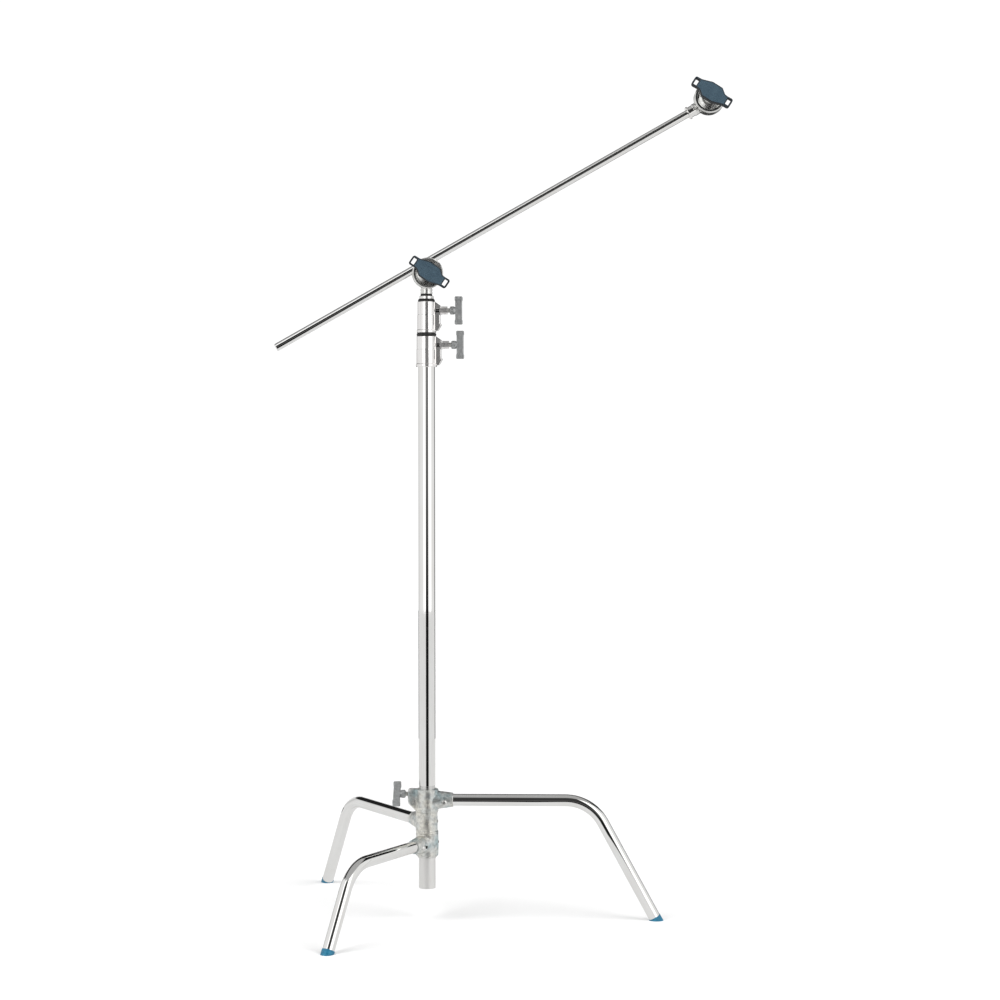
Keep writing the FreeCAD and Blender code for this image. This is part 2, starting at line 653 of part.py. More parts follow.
def make_column():
    turned("column_spigot", [
        ("0", "spigot_bottom"),
        ("spigot_radius - 2", "spigot_bottom"),
        ("spigot_radius", "spigot_bottom + 2"),
        ("spigot_radius", "top_top + gap"),
        ("shoulder_radius", "top_top + gap"),
        ("shoulder_radius", "column_bottom"),
        ("column_bore - press_gap", "column_bottom"),
        ("column_bore - press_gap", "plug_top"),
        ("0", "plug_top"),
    ])
    tube("column_tube", "column_radius", "column_bore", "column_bottom + press_gap", "column_top")
    tube("riser_one_tube", "riser_one_radius", "riser_one_bore", "riser_one_bottom", "riser_one_top")
    tube("riser_two_tube", "riser_two_radius", "riser_two_bore", "riser_two_bottom", "riser_two_top")
    guide_bush("riser_one_bush", "column_bore", "riser_one_bore", "riser_one_bottom")
    guide_bush("riser_two_bush", "riser_one_bore", "riser_two_bore", "riser_two_bottom")


def tube(label, radius, bore, low, high):
    turned(label, [(bore, low), (radius, low), (radius, high), (bore, high)])


def guide_bush(label, outside, inside, tube_end):
    """A plastic bush plugged into a riser's lower end, its flange sliding in the tube around it."""
    turned(label, [
        ("bush_bore", f"{tube_end} - bush_flange"),
        (f"{outside} - running_gap - 0.6", f"{tube_end} - bush_flange"),
        (f"{outside} - running_gap", f"{tube_end} - bush_flange + 0.6"),
        (f"{outside} - running_gap", f"{tube_end} - press_gap"),
        (f"{inside} - press_gap", f"{tube_end} - press_gap"),
        (f"{inside} - press_gap", f"{tube_end} + bush_plug"),
        ("bush_bore", f"{tube_end} + bush_plug"),
    ])


def make_collar(name, tube_radius, tube_top, slide_radius):
    """A collar: banded barrel, a web down its side and a round boss for the lock screw."""
    bottom, top, radius = (f"{name}_collar_{word}" for word in ("bottom", "top", "radius"))
    lock, face = f"{name}_lock_height", f"{name}_boss_face"
    label = f"{name}_collar"
    body = new_body(label)
    barrel = revolve(body, [
        (f"{tube_radius} + press_gap", bottom),
        (f"{radius} + band_step - 1", bottom),
        (f"{radius} + 2 * band_step", f"{bottom} + 1.5"),
        (f"{radius} + 2 * band_step", f"{bottom} + foot_band - 1"),
        (f"{radius}", f"{bottom} + foot_band"),
        (f"{radius}", f"{top} - upper_band - 1"),
        (f"{radius} - band_step", f"{top} - upper_band"),
        (f"{radius} - band_step", f"{top} - 1"),
        (f"{radius} - band_step - 1", top),
        (f"{slide_radius} + running_gap", top),
        (f"{slide_radius} + running_gap", f"{tube_top} + press_gap"),
        (f"{tube_radius} + press_gap", f"{tube_top} + press_gap"),
    ])
    web = outline(body, "XZ_Plane", [
        (f"{tube_radius} + 2", f"{top} - 0.8"),
        (f"{radius} - band_step - 0.8", f"{top} - 0.8"),
        (f"{radius} + web_lip", f"{lock} + collar_boss_radius"),
        (f"{radius} + web_lip", f"{lock} - collar_boss_radius"),
        (f"{radius} + web_depth", f"{lock} - collar_boss_radius - 2"),
        (f"{radius} + web_depth", f"{lock} - lip_drop"),
        (f"{radius} + web_lip", f"{lock} - lip_drop - lip_rise"),
        (f"{radius} + web_foot", f"{lock} - web_drop"),
        (f"{tube_radius} + 2", f"{lock} - web_drop"),
    ])
    web_pad = pad(body, web, "web_width", midplane=True)
    rounded(
        body, web_pad, "web_round", "Fillet",
        lambda edge: min(v.X for v in edge.Vertexes) > size[f"{name}_collar_radius"] + 4
        and abs(edge.Vertexes[0].Y - edge.Vertexes[-1].Y) < 1,
    )
    boss = circles(body, "YZ_Plane", ["collar_boss_radius"], lift=size[f"{name}_collar_radius"])
    boss.AttachmentOffset = move(y=size[lock], z=size[f"{name}_collar_radius"])
    pad(body, boss, f"{face} - {radius}")
    hole = circles(body, "YZ_Plane", ["lock_hole"])
    hole.AttachmentOffset = move(y=size[lock])
    drill = body.newObject("PartDesign::Pocket", "lock_hole")
    drill.Profile = hole
    drill.Reversed = True
    bind(drill, Length=f"{face} + 1")
    node(body, label)


def make_rings():
    turned("lower_bumper", [
        ("riser_one_radius + 4 * gap", "lower_collar_top"),
        ("lower_bumper_radius - 0.5", "lower_collar_top"),
        ("lower_bumper_radius + 0.4", "lower_collar_top + 1"),
        ("lower_bumper_radius + 0.4", "upper_collar_bottom - gap - 1.5"),
        ("lower_bumper_radius - 1", "upper_collar_bottom - gap"),
        ("riser_one_radius + 4 * gap", "upper_collar_bottom - gap"),
    ])
    turned("upper_bumper", [
        ("riser_two_radius + 4 * gap", "upper_collar_top"),
        ("upper_bumper_radius", "upper_collar_top"),
        ("upper_bumper_radius", "upper_collar_top + 2.5"),
        ("upper_bumper_radius - 2", "riser_two_top - gap"),
        ("riser_two_radius + 4 * gap", "riser_two_top - gap"),
    ])
    turned("stud", [
        ("0", "stud_plug_bottom"),
        ("riser_two_bore - press_gap", "stud_plug_bottom"),
        ("riser_two_bore - press_gap", "riser_two_top + press_gap"),
        ("stud_flange", "riser_two_top + press_gap"),
        ("stud_flange", "stud_flange_top - 0.8"),
        ("stud_flange - 0.8", "stud_flange_top"),
        ("stud_radius", "stud_flange_top"),
        ("stud_radius", "stud_top - 20"),
        ("stud_radius - 1", "stud_top - 19"),
        ("stud_radius - 1", "stud_top - 10"),
        ("stud_radius", "stud_top - 9"),
        ("stud_radius", "stud_top - 1"),
        ("stud_radius - 1", "stud_top"),
        ("0", "stud_top"),
    ])
    turned("stud_ring", [
        ("stud_radius + press_gap", "stud_flange_top + press_gap"),
        ("stud_ring_radius", "stud_flange_top + press_gap"),
        ("stud_ring_radius", "stud_ring_top - 1"),
        ("stud_ring_radius - 0.7", "stud_ring_top"),
        ("stud_radius + press_gap", "stud_ring_top"),
    ])


# ---- lock screws -----------------------------------------------------------------------------


def make_lock(name, place, reach, bar_half):
    """A pressure pad, a screw and a T-handle.  Local +X runs out along the screw, 0 at the boss."""
    along, reach = place * toward(X), f"( {reach} )"
    turned(f"{name}_lock_pad", [
        ("0", f"0 - {reach}"),
        ("lock_radius - 0.4", f"0 - {reach}"),
        ("lock_radius", f"0 - {reach} + 0.4"),
        ("lock_radius", f"0 - {reach} + pad_length"),
        ("0", f"0 - {reach} + pad_length"),
    ], along)
    turned(f"{name}_lock_screw", [
        ("0", f"0 - {reach} + pad_length + press_gap"),
        ("lock_radius - 0.6", f"0 - {reach} + pad_length + press_gap"),
        ("lock_radius", f"0 - {reach} + pad_length + press_gap + 0.6"),
        ("lock_radius", "screw_in_handle"),
        ("0", "screw_in_handle"),
    ], along)

    body = new_body(f"{name}_lock_handle")
    near, far = "bar_start", "bar_start + bar_thickness"
    bar = outline(body, "XZ_Plane", [
        (near, f"0 - {bar_half}"),
        (far, f"0 - {bar_half}"),
        (far, f"0 - {bar_half} + bar_end"),
        (f"{far} - bar_step", f"0 - {bar_half} + bar_end + 2 * bar_step"),
        (f"{far} - bar_step", f"{bar_half} - bar_end - 2 * bar_step"),
        (far, f"{bar_half} - bar_end"),
        (far, f"{bar_half}"),
        (near, f"{bar_half}"),
        (near, f"{bar_half} - bar_end"),
        (f"{near} + bar_step", f"{bar_half} - bar_end - 2 * bar_step"),
        (f"{near} + bar_step", f"0 - {bar_half} + bar_end + 2 * bar_step"),
        (near, f"0 - {bar_half} + bar_end"),
    ])
    bar_pad = pad(body, bar, "bar_width", midplane=True)
    rounded(
        body, bar_pad, "bar_round", "Fillet",
        lambda edge: abs(edge.Vertexes[0].Y - edge.Vertexes[-1].Y) > size["bar_width"] / 2
        and abs(edge.Vertexes[0].Z) > size[bar_half] - 1,
    )
    rounded(
        body, body.Tip, "bar_chamfer", "Chamfer",
        lambda edge: abs(edge.Vertexes[0].Y - edge.Vertexes[-1].Y) < 0.1,
    )
    revolve(body, [
        ("hub_start", "lock_radius + press_gap"),
        ("hub_start", "hub_radius - 1.5"),
        ("hub_start + 1.5", "hub_radius"),
        ("bar_start - 2", "hub_radius"),
        ("bar_start + bar_step + 0.5", "hub_radius - 2"),
        ("bar_start + bar_step + 0.5", "lock_radius + press_gap"),
    ], axis="H_Axis")
    node(body, f"{name}_lock_handle", place)


def make_locks():
    make_lock(
        "base",
        move(-size["base_boss_face"], 0, size["base_lock_height"]) * turn(Z, 180)
        * turn(X, size["base_handle_turn"]),
        "base_boss_face - sleeve_bore - 0.05", "bar_half",
    )
    make_lock(
        "lower", move(size["lower_boss_face"], 0, size["lower_lock_height"]),
        "lower_boss_face - riser_one_radius - 0.1", "bar_half",
    )
    make_lock(
        "upper", move(size["upper_boss_face"], 0, size["upper_lock_height"]),
        "upper_boss_face - riser_two_radius - 0.1", "bar_half",
    )
    make_lock(
        "head",
        HEAD_POST * move(0, size["head_boss_face"], -size["head_lock_drop"]) * turn(Z, 90),
        "head_boss_face - receiver_bore - 0.05", "small_bar_half",
    )


# ---- grip heads ------------------------------------------------------------------------------


def receiver_plate(name):
    """The round plate of a receiver with the boss behind it.  Local +Z runs out along the axis."""
    plate = cylinder(
        name + "_plate", "receiver_disc", "plate_thickness",
        move(z=size[f"{name}_face"] - size["plate_thickness"]),
    )
    boss = cylinder(
        name + "_plate_boss", "receiver_boss", f"{name}_face - 1 - {name}_boss_back",
        move(z=size[f"{name}_boss_back"]),
    )
    return [plate, boss]


def make_stand_receiver():
    """The stand head's receiver: a socket for the stud, the lock's boss and the round plate."""
    down = toward(-Y)
    sleeve = cylinder(
        "stand_socket", "receiver_radius", "receiver_drop + receiver_rise",
        move(y=size["receiver_rise"]) * down,
    )
    bands = [
        cylinder(
            f"stand_socket_band{i}", "receiver_flange", "band_height",
            move(y=size["band_height"] + rise - size["receiver_drop"]) * down,
        )
        for i, rise in enumerate((0, size["band_height"] + size["band_space"]))
    ]
    lock_boss = cylinder(
        "stand_lock_boss", "head_boss_radius", "head_boss_face",
        move(y=-size["head_lock_drop"]) * toward(-Z),
    )
    bore = cylinder(
        "stand_socket_bore", "receiver_bore", "socket_depth",
        move(y=size["socket_depth"] - size["receiver_drop"]) * down,
    )
    drill = cylinder(
        "stand_lock_drill", "lock_hole", "head_boss_face + 1",
        move(y=-size["head_lock_drop"]) * toward(-Z),
    )
    bolt_hole = cylinder(
        "stand_bolt_hole", "bolt_radius + press_gap", "stand_face", move(z=size["bolt_radius"] + 4)
    )
    whole = fuse("stand_receiver_whole", [sleeve, lock_boss] + bands + receiver_plate("stand"))
    node(cut("stand_receiver", whole, [bore, drill, bolt_hole]), "stand_receiver", STAND_HEAD)


def make_arm_receiver():
    """The arm head's receiver: a neck that takes the end of the rod, and the round plate."""
    neck = cylinder(
        "arm_neck", "neck_radius", "neck_end + 4",
        move(x=-size["neck_end"] + size["press_gap"]) * toward(X),
    )
    rod_end = size["arm_length"] - size["arm_tail"] - size["arm_reach"]
    rod_hole = cylinder(
        "arm_rod_hole", "rod_radius + press_gap", "neck_end",
        move(x=rod_end + 4 * size["gap"] - size["neck_end"]) * toward(X),
    )
    bolt_hole = cylinder(
        "arm_bolt_hole", "bolt_radius + press_gap", "arm_face", move(z=size["bolt_radius"])
    )
    neck_middle = move(x=-size["neck_screw_reach"])
    grub_hole = cylinder(
        "arm_grub_hole", "screw_radius + press_gap", "2 * neck_radius", neck_middle * toward(-Z)
    )
    whole = fuse("arm_receiver_whole", [neck] + receiver_plate("arm"))
    node(cut("arm_receiver", whole, [rod_hole, bolt_hole, grub_hole]), "arm_receiver", ARM_HEAD)
    screw = cylinder("arm_neck_grub_screw", "screw_radius", "neck_radius - rod_radius - 2 * gap")
    node(
        screw, "arm_neck_screw",
        ARM_HEAD * neck_middle * move(z=-size["rod_radius"] - 2 * size["gap"]) * toward(-Z),
    )


def jaw_plate(label, corners, place):
    """A round jaw plate with a large and a small groove and a pocket for the spring."""
    body = new_body(label)
    revolve(body, corners)
    for number, (radius, offset) in enumerate((
        ("groove_radius", size["groove_offset"]),
        ("small_groove_radius", -size["small_groove_offset"]),
    )):
        sketch = circles(body, "YZ_Plane", [radius])
        sketch.AttachmentOffset = move(offset, size["groove_axis"], 0)
        groove = body.newObject("PartDesign::Pocket", f"groove{number}")
        groove.Profile = sketch
        bind(groove, Length="4 * disc_radius")
        groove.Midplane = True
    node(body, label, place)


def make_jaws(name, place, face, knob):
    """The jaws, bolt, spring, washers and knob of one grip head.  0 is the receiver's face."""
    turned(f"{name}_friction_washer", [
        ("bolt_radius + 1", "press_gap"),
        ("washer_radius", "press_gap"),
        ("washer_radius", "washer_thickness"),
        ("bolt_radius + 1", "washer_thickness"),
    ], face)
    turned(f"{name}_centre_bolt", [
        ("0", "0 - 7"),
        ("bolt_radius", "0 - 7"),
        ("bolt_radius", "bolt_tip - 1"),
        ("bolt_radius - 1", "bolt_tip"),
        ("0", "bolt_tip"),
    ], face)
    jaw_plate(f"{name}_inner_jaw", [
        ("bolt_radius + running_gap", "inner_back"),
        ("disc_radius - 1.5", "inner_back"),
        ("disc_radius", "inner_back + 1.5"),
        ("disc_radius", "inner_front"),
        ("pocket_radius", "inner_front"),
        ("pocket_radius", "inner_front - pocket_depth"),
        ("bolt_radius + running_gap", "inner_front - pocket_depth"),
    ], place)
    jaw_plate(f"{name}_outer_jaw", [
        ("bolt_radius + running_gap", "outer_back + pocket_depth"),
        ("pocket_radius", "outer_back + pocket_depth"),
        ("pocket_radius", "outer_back"),
        ("disc_radius", "outer_back"),
        ("disc_radius", "outer_rim"),
        ("disc_radius - 2.2", "outer_front"),
        ("disc_radius - 6", "outer_front"),
        ("disc_radius - 10", "outer_front - 2.5"),
        ("thrust_radius + 4.5", "outer_front - 1"),
        ("thrust_radius", "outer_hub"),
        ("bolt_radius + running_gap", "outer_hub"),
    ], place)
    jaw_spring(name, place)
    turned(f"{name}_thrust_washer", [
        ("bolt_radius + 0.3", "outer_hub + press_gap"),
        ("thrust_radius", "outer_hub + press_gap"),
        ("thrust_radius", "thrust_top - 0.5"),
        ("thrust_radius - 0.5", "thrust_top"),
        ("bolt_radius + 0.3", "thrust_top"),
    ], place)
    make_knob(name, knob)


HALF_TURNS = 8


def jaw_spring(name, place):
    """The coil spring that parts the jaws: half turns that lean to and fro round the bolt."""
    height = "( outer_back - inner_front + 2 * pocket_depth - 2 * spring_wire - 4 * gap )"
    room = size["outer_back"] - size["inner_front"] + 2 * size["pocket_depth"]
    rise = (room - 2 * size["spring_wire"] - 4 * size["gap"]) / HALF_TURNS
    lean = turn(Y, math.degrees(math.atan2(rise / 2, size["spring_radius"])))
    turns = []
    for number in range(HALF_TURNS):
        piece = bind(
            doc.addObject("Part::Torus", f"{name}_half_turn{number}"),
            Radius1=f"sqrt( spring_radius ^ 2 + ( {height} / {2 * HALF_TURNS} ) ^ 2 )",
            Radius2="spring_wire", Angle3="180",
        )
        piece.Placement = move(z=(number + 0.5) * rise) * turn(Z, 180 * number) * lean
        turns.append(piece)
    start = size["inner_front"] - size["pocket_depth"] + size["spring_wire"] + 2 * size["gap"]
    node(fuse(name + "_coil", turns), f"{name}_jaw_spring", place * move(z=start))


def make_knob(name, place):
    """A two-winged knob.  Each wing has a straight and a hollow side, and ends in a finger loop."""
    body = new_body(f"{name}_knob")
    half = [
        ("wing_half", "wing_end"),
        ("wing_half - 14", "wing_neck + 0.7"),
        ("wing_half - 20", "wing_neck + 1.2"),
        ("wing_body - 5", "wing_body"),
        ("0 - wing_body / 2", "wing_body"),
        ("0 - wing_half + 14", "wing_end + 0.8"),
        ("0 - wing_half", "wing_end"),
    ]
    other = [(f"0 - ( {x} )", f"0 - ( {y} )") for x, y in half]
    wings = pad(body, outline(body, "XY_Plane", half + other, size["wing_back"]), "wing_thickness")
    rounded(
        body, wings, "wing_round", "Fillet",
        lambda edge: abs(edge.Vertexes[0].Z - edge.Vertexes[-1].Z) > 1,
    )
    rounded(
        body, body.Tip, "wing_thickness / 6", "Fillet",
        lambda edge: min(v.Z for v in edge.Vertexes) > size["wing_back"] + 1,
    )
    revolve(body, [
        ("nut_radius", "knob_back"),
        ("knob_hub - 1", "knob_back"),
        ("knob_hub", "knob_back + 1"),
        ("knob_hub", "knob_back + 8"),
        ("knob_hub + 4", "wing_back + 0.5"),
        ("0", "wing_back + 0.5"),
        ("0", "wing_back"),
        ("nut_radius", "wing_back"),
    ])
    for side in ("loop_centre", "0 - loop_centre"):
        loop = outline(body, "XY_Plane", [
            (f"{side} {sx} loop_length / 2", f"0 {sy} loop_width / 2")
            for sx, sy in (("-", "-"), ("+", "-"), ("+", "+"), ("-", "+"))
        ])
        hole = body.newObject("PartDesign::Pocket", "finger_loop")
        hole.Profile = loop
        hole.Reversed = True
        bind(hole, Length="2 * wing_back")
    bolt_hole = body.newObject("PartDesign::Pocket", "bolt_hole")
    bolt_hole.Profile = circles(body, "XY_Plane", ["bolt_radius + 0.4"])
    bolt_hole.Reversed = True
    bind(bolt_hole, Length="knob_depth")
    node(body, f"{name}_knob", place)
    turned(f"{name}_knob_nut", [
        ("bolt_radius + running_gap", "knob_back + 0.2"),
        ("nut_radius - press_gap", "knob_back + 0.2"),
        ("nut_radius - press_gap", "knob_back + nut_length"),
        ("bolt_radius + running_gap", "knob_back + nut_length"),
    ], place)


# ---- arm -------------------------------------------------------------------------------------


def make_arm():
    along = ROD * toward(X)
    turned("arm_rod", [
        ("0", "0 - arm_tail"),
        ("rod_radius", "0 - arm_tail"),
        ("rod_radius", "arm_length - arm_tail"),
        ("0", "arm_length - arm_tail"),
    ], along)
    turned("arm_tip_cap", [
        ("0", "0 - arm_tail - tip_length"),
        ("rod_radius - 1.5", "0 - arm_tail - tip_length"),
        ("rod_radius", "0 - arm_tail - tip_length + 1.5"),
        ("rod_radius", "0 - arm_tail - press_gap"),
        ("0", "0 - arm_tail - press_gap"),
    ], along)
    turned("arm_neck_nut", [
        ("rod_radius + press_gap", "0 - neck_start"),
        ("neck_flange - 1", "0 - neck_start"),
        ("neck_flange", "0 - neck_start + 1"),
        ("neck_flange", "0 - neck_start + 4"),
        ("neck_nut", "0 - neck_start + 5"),
        ("neck_nut", "0 - neck_end - 3"),
        ("neck_radius", "0 - neck_end - 2"),
        ("neck_radius", "0 - neck_end"),
        ("rod_radius + press_gap", "0 - neck_end"),
    ], ARM_HEAD * toward(X))


# ---- build, check and export -----------------------------------------------------------------

make_sleeve()
make_casting("top", "top_bottom", "top_top", "sleeve_radius + press_gap", "run_high", 0)
make_casting(
    "middle", "middle_bottom", "top_bottom", "sleeve_radius + running_gap", "run_middle",
    size["azimuth_middle"],
)
make_casting(
    "low", "low_bottom", "middle_bottom", "sleeve_radius + running_gap", "run_low",
    size["azimuth_low"],
)
make_leg("top", "run_high", "knee_high", 0)
make_leg("middle", "run_middle", "knee_middle", size["azimuth_middle"])
make_leg("low", "run_low", "knee_low", size["azimuth_low"])
make_column()
make_collar("lower", "column_radius", "column_top", "riser_one_radius")
make_collar("upper", "riser_one_radius", "riser_one_top", "riser_two_radius")
make_rings()
make_locks()
make_stand_receiver()
make_jaws("stand", STAND_JAWS, STAND_FACE, STAND_KNOB)
make_arm()
make_arm_receiver()
make_jaws("arm", ARM_FACE, ARM_FACE, ARM_KNOB)

doc.recompute()
for thing in doc.Objects:
    if {"Invalid", "Error"} & set(thing.State):
        raise RuntimeError(f"{thing.Label} failed: {thing.State}")
for thing in NODES:
    if thing.Shape.isNull() or not thing.Shape.isValid():
        raise RuntimeError(f"{thing.Label} has no valid shape")

os.makedirs("parts", exist_ok=True)
for thing in NODES:
    thing.Shape.exportStep(f"parts/{thing.Label}.step")
print(len(NODES), "nodes written")
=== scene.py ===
import json
import math

import bpy
from mathutils import Matrix, Vector, kdtree, noise

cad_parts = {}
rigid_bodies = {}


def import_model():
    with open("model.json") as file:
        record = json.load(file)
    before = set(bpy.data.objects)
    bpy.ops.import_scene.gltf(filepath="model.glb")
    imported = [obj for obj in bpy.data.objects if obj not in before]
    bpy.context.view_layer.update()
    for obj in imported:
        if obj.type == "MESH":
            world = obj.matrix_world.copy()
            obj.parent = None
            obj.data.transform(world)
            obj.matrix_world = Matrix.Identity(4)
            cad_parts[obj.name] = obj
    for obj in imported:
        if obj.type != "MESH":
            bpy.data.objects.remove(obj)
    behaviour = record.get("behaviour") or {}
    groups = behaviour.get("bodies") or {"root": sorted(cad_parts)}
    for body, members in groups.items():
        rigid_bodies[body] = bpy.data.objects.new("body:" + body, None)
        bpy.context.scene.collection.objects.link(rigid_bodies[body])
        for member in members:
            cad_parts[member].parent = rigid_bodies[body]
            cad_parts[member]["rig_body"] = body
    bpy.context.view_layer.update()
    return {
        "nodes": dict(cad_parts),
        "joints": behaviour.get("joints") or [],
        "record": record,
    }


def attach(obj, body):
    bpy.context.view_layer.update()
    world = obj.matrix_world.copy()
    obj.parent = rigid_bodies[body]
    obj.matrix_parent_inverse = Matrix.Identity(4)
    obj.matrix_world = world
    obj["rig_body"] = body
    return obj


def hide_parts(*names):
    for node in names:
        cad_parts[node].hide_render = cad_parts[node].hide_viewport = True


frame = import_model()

# Looks of a stage stand with a grip head and a boom arm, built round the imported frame.
# Metres, +Z up, the column's axis at the origin and the high leg along +X.

NODES = frame["nodes"]
SLOT_OF = {part["node"]: part["material_slot"] for part in frame["record"]["subparts"]}
JOINTS = {joint["name"]: joint for joint in frame["joints"]}
MM = 0.001


# ---- camera, light and floor ------------------------------------------------------------------

CAMERA_BACK, CAMERA_SIDE, CAMERA_HEIGHT = 5.0, 0.152, 1.108
CAMERA_HEADING, CAMERA_PITCH = 1.5, -2.65
LENS, SENSOR = 86.9, 36.0

FLOOR_RADIUS = 7.0
# Sheets on the floor that only the chrome sees, painted reflections: (name, sector in degrees, near and
# far edge).
# The first is pale, glows and covers the whole floor, a painted reflection of the floor; the two sheets
# over it are dark, painted dark reflections.
PAINTED_REFLECTION_SHEETS = [
    ("floor_in_chrome", (-180.0, 180.0), 0.0, FLOOR_RADIUS),
    ("front_painted_reflection", (-10.6, 26.0), 0.5, FLOOR_RADIUS),
    ("back_painted_reflection", (138.0, 222.0), 2.6, FLOOR_RADIUS),
]


def make_camera():
    camera = bpy.data.objects.new("camera", bpy.data.cameras.new("camera"))
    bpy.context.scene.collection.objects.link(camera)
    camera.data.lens, camera.data.sensor_width = LENS, SENSOR
    camera.data.clip_end = 100.0
    heading = Matrix.Rotation(math.radians(CAMERA_HEADING), 4, "Z")
    pitch = Matrix.Rotation(math.radians(90.0 + CAMERA_PITCH), 4, "X")
    place = Matrix.Translation(Vector((CAMERA_SIDE, -CAMERA_BACK, CAMERA_HEIGHT)))
    camera.matrix_world = heading @ place @ pitch
    bpy.context.scene.camera = camera


class Tree:
    """Short ways to add and join shader nodes."""

    def __init__(self, tree):
        self.tree = tree

    def add(self, kind, inputs=(), **settings):
        node = self.tree.nodes.new("ShaderNode" + kind)
        for name, value in settings.items():
            setattr(node, name, value)
        for socket, value in dict(inputs).items():
            self.feed(node.inputs[socket], value)
        return node

    def feed(self, socket, value):
        if isinstance(value, bpy.types.NodeSocket):
            self.tree.links.new(value, socket)
        else:
            socket.default_value = value

    def math(self, operation, *values):
        return self.add("Math", enumerate(values), operation=operation).outputs[0]

    def ramp(self, value, stops, smooth=False):
        """A colour ramp: stops are (position, grey or colour)."""
        node = self.add("ValToRGB", {0: value})
        band = node.color_ramp
        band.interpolation = "EASE" if smooth else "LINEAR"
        while len(band.elements) < len(stops):
            band.elements.new(1.0)
        for element, (position, shade) in zip(band.elements, stops):
            element.position = position
            grey = isinstance(shade, (int, float))
            element.color = (shade, shade, shade, 1.0) if grey else (*shade, 1.0)
        return node.outputs[0]

    def mix(self, share, a, b, blend="MIX"):
        """One colour blended into another."""
        node = self.add("Mix", data_type="RGBA", blend_type=blend)
        self.feed(node.inputs["Factor"], share)
        for socket, value in ((node.inputs[6], a), (node.inputs[7], b)):
            self.feed(socket, (*value, 1.0) if isinstance(value, tuple) else value)
        return node.outputs[2]


# The studio round the stand, as seen in its chrome: (degrees from the camera's side, brightness).
WALLS = [
    (-180, 0.85), (-150, 0.80), (-133, 0.55), (-118, 0.80), (-55, 0.88), (-42, 0.95), (-37, 1.5),
    (-13, 1.5), (62, 1.5), (68, 0.95), (84, 0.80), (112, 0.85), (126, 0.70), (136, 0.22),
    (164, 0.20), (172, 0.85), (180, 0.85),
]
# The sine of the walls' height, halved and raised by a half, in the same way.
WALL_TOPS = [
    (-180, 0.62), (-150, 0.65), (-122, 0.71), (-100, 0.86), (-45, 0.93), (-14, 0.93), (-9, 0.90),
    (24, 0.90), (30, 0.90), (100, 0.86), (122, 0.71), (150, 0.65), (180, 0.62),
]
# The darker part of the room on the camera's side, from the floor up.
# Each one: left and right edge in degrees, and where it starts, as a height like those above.
DARK_SECTORS = [(-10.6, 26.0, 0.0), (-21.0, 26.0, 0.53)]
SECTOR_EDGE = 1.5
GLOOM = [
    (0.435, 0.002), (0.456, 0.03), (0.486, 0.15), (0.512, 0.25), (0.530, 0.10), (0.545, 0.02),
    (0.60, 0.025), (0.75, 0.05),
]
OVERHEAD = 0.42


def part_of_turn(degrees):
    return degrees / 360.0 + 0.5


def studio_world():
    world = bpy.data.worlds.new("studio")
    bpy.context.scene.world = world
    world.use_nodes = True
    world.node_tree.nodes.clear()
    tree = Tree(world.node_tree)
    direction = tree.add("TexCoord").outputs["Generated"]
    x, y, z = tree.add("SeparateXYZ", {0: direction}).outputs
    turn = tree.math("ARCTAN2", x, tree.math("MULTIPLY", y, -1.0))
    around = tree.math("MULTIPLY_ADD", turn, 0.5 / math.pi, 0.5)
    height = tree.math("MULTIPLY_ADD", z, 0.5, 0.5)
    walls = tree.ramp(around, [(part_of_turn(a), shade) for a, shade in WALLS])
    for low, high, start in DARK_SECTORS:
        sector = tree.ramp(around, [
            (part_of_turn(low - SECTOR_EDGE), 0.0), (part_of_turn(low), 1.0),
            (part_of_turn(high), 1.0), (part_of_turn(high + SECTOR_EDGE), 0.0),
        ])
        share = tree.math("MULTIPLY", sector, tree.ramp(height, [(start, 0.0), (start + 0.03, 1.0)]))
        walls = tree.mix(share, walls, tree.ramp(height, GLOOM))
    wall_top = tree.ramp(around, [(part_of_turn(a), top) for a, top in WALL_TOPS])
    above = tree.math("SUBTRACT", height, wall_top)
    over = tree.add("MapRange", {"Value": above, "From Max": 0.02}).outputs[0]
    ceiling = tree.ramp(height, [(0.86, 0.015), (0.90, OVERHEAD)])
    room = tree.mix(over, walls, ceiling)
    seen = tree.add("LightPath").outputs["Is Camera Ray"]
    colour = tree.mix(seen, room, (1.05, 1.05, 1.05))
    background = tree.add("Background", {0: colour, 1: 1.0})
    output = tree.add("OutputWorld")
    tree.feed(output.inputs[0], background.outputs[0])


# Two broad lights, one on each side: (name, degrees from the camera's side, elevation, strength).
SUNS = [("left_light", -58.0, 52.0, 1.15), ("right_light", 62.0, 48.0, 1.05)]
SUN_SIZE = 38.0


def make_lights():
    for name, side, elevation, strength in SUNS:
        light = bpy.data.objects.new(name, bpy.data.lights.new(name, "SUN"))
        bpy.context.scene.collection.objects.link(light)
        light.data.energy = strength
        light.data.angle = math.radians(SUN_SIZE)
        a, e = math.radians(side), math.radians(elevation)
        toward = Vector((math.sin(a) * math.cos(e), -math.cos(a) * math.cos(e), math.sin(e)))
        light.rotation_mode = "QUATERNION"
        light.rotation_quaternion = toward.to_track_quat("Z", "Y")
        light.visible_glossy = False


def mesh_object(name, points, faces, smooth=True):
    mesh = bpy.data.meshes.new(name)
    mesh.from_pydata([tuple(p) for p in points], [], faces)
    mesh.validate()
    if smooth:
        mesh.shade_smooth()
    else:
        mesh.shade_flat()
    thing = bpy.data.objects.new(name, mesh)
    bpy.context.scene.collection.objects.link(thing)
    return thing


def sector_points(radius, start, end, steps):
    for i in range(steps + 1):
        a = math.radians(start + (end - start) * i / steps)
        yield Vector((math.sin(a) * radius, -math.cos(a) * radius, 0.0))


